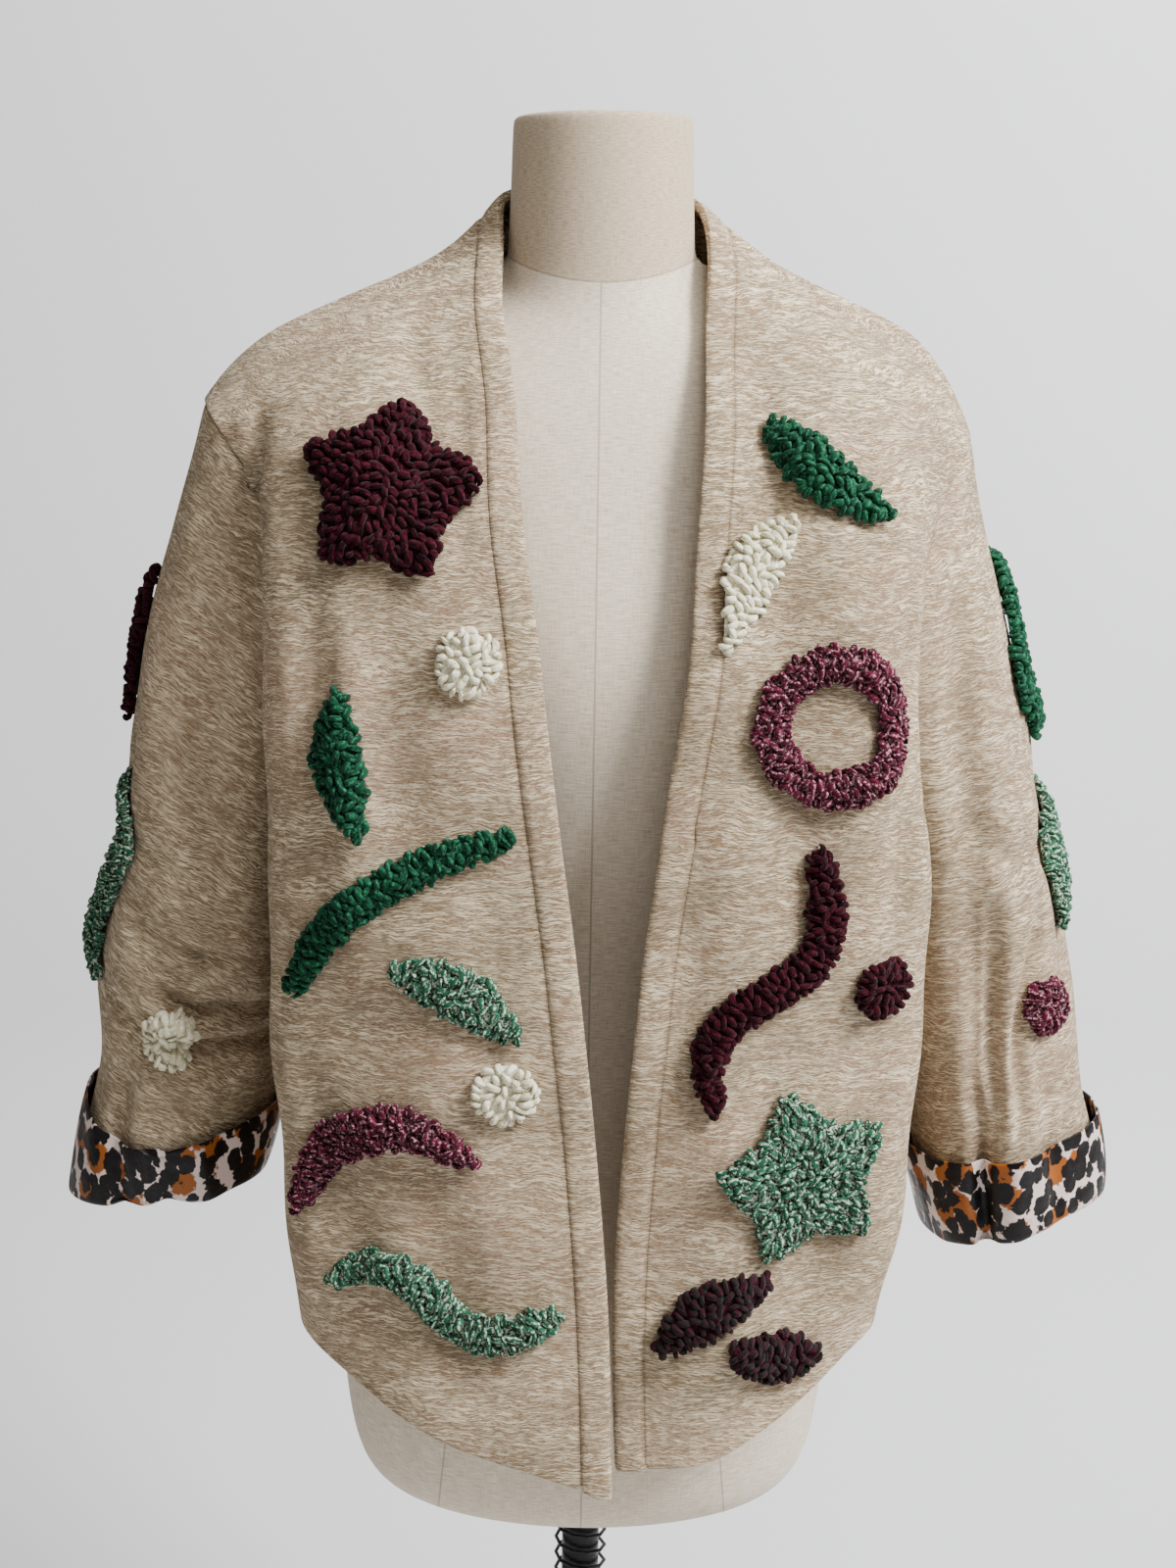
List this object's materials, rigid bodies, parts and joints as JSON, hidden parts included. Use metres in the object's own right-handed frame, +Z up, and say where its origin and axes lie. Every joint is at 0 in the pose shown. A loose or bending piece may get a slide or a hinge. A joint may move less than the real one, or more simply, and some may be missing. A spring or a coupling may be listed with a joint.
{
  "type": "applique jacket on a dress form",
  "caption": "Open-front wool jacket with turned-up printed cuffs and raised looped-yarn appliques, worn by a limbless dress form on a post stand.",
  "frame": {"origin": "centre of the underside of the stand's base, on the floor", "axes": "+Z up along the post; the jacket's open front faces -Y; +X is the wearer's left"},
  "size_m": [0.6798, 0.35, 1.4],
  "materials": {
    "wool": "heathered beige wool, lightly napped",
    "lining": "satin with a spotted animal print",
    "linen": "plain greige linen canvas",
    "black_metal": "black, satin",
    "burgundy": "looped yarn pile",
    "green": "looped yarn pile",
    "mint": "looped yarn pile, heathered with white",
    "cream": "looped yarn pile",
    "rose": "looped yarn pile, burgundy with white",
    "moss": "looped yarn pile, dark green with burgundy"
  },
  "bodies": {
    "root": {"front_right": "wool", "front_left": "wool", "back": "wool", "sleeve_right": "wool", "sleeve_left": "wool", "band_right": "wool", "band_left": "wool", "cuff_right": "lining", "cuff_left": "lining", "dress_form": "linen", "stand_base": "black_metal", "stand_post": "black_metal", "stand_collar": "black_metal", "stand_spring": "black_metal", "flower_chest": "burgundy", "stem_waist": "green", "leaf_waist_a": "green", "leaf_waist_b": "mint", "crescent_hip": "rose", "dot_hip": "cream", "wave_hem": "mint", "dot_chest": "cream", "leaf_shoulder": "green", "leaf_breast": "cream", "ring_bust": "rose", "wave_waist": "burgundy", "dot_waist": "burgundy", "flower_hip": "mint", "leaf_hem_a": "moss", "leaf_hem_b": "moss", "crescent_back": "burgundy", "flower_back": "green", "wave_back": "mint", "leaf_back_a": "moss", "leaf_back_b": "rose", "ring_back": "cream", "leaf_arm_r": "burgundy", "wave_arm_r": "mint", "dot_arm_r": "cream", "leaf_elbow_r": "green", "crescent_arm_l": "green", "leaf_arm_l": "mint", "dot_arm_l": "rose", "leaf_elbow_l": "burgundy"}
  },
  "joints": []
}
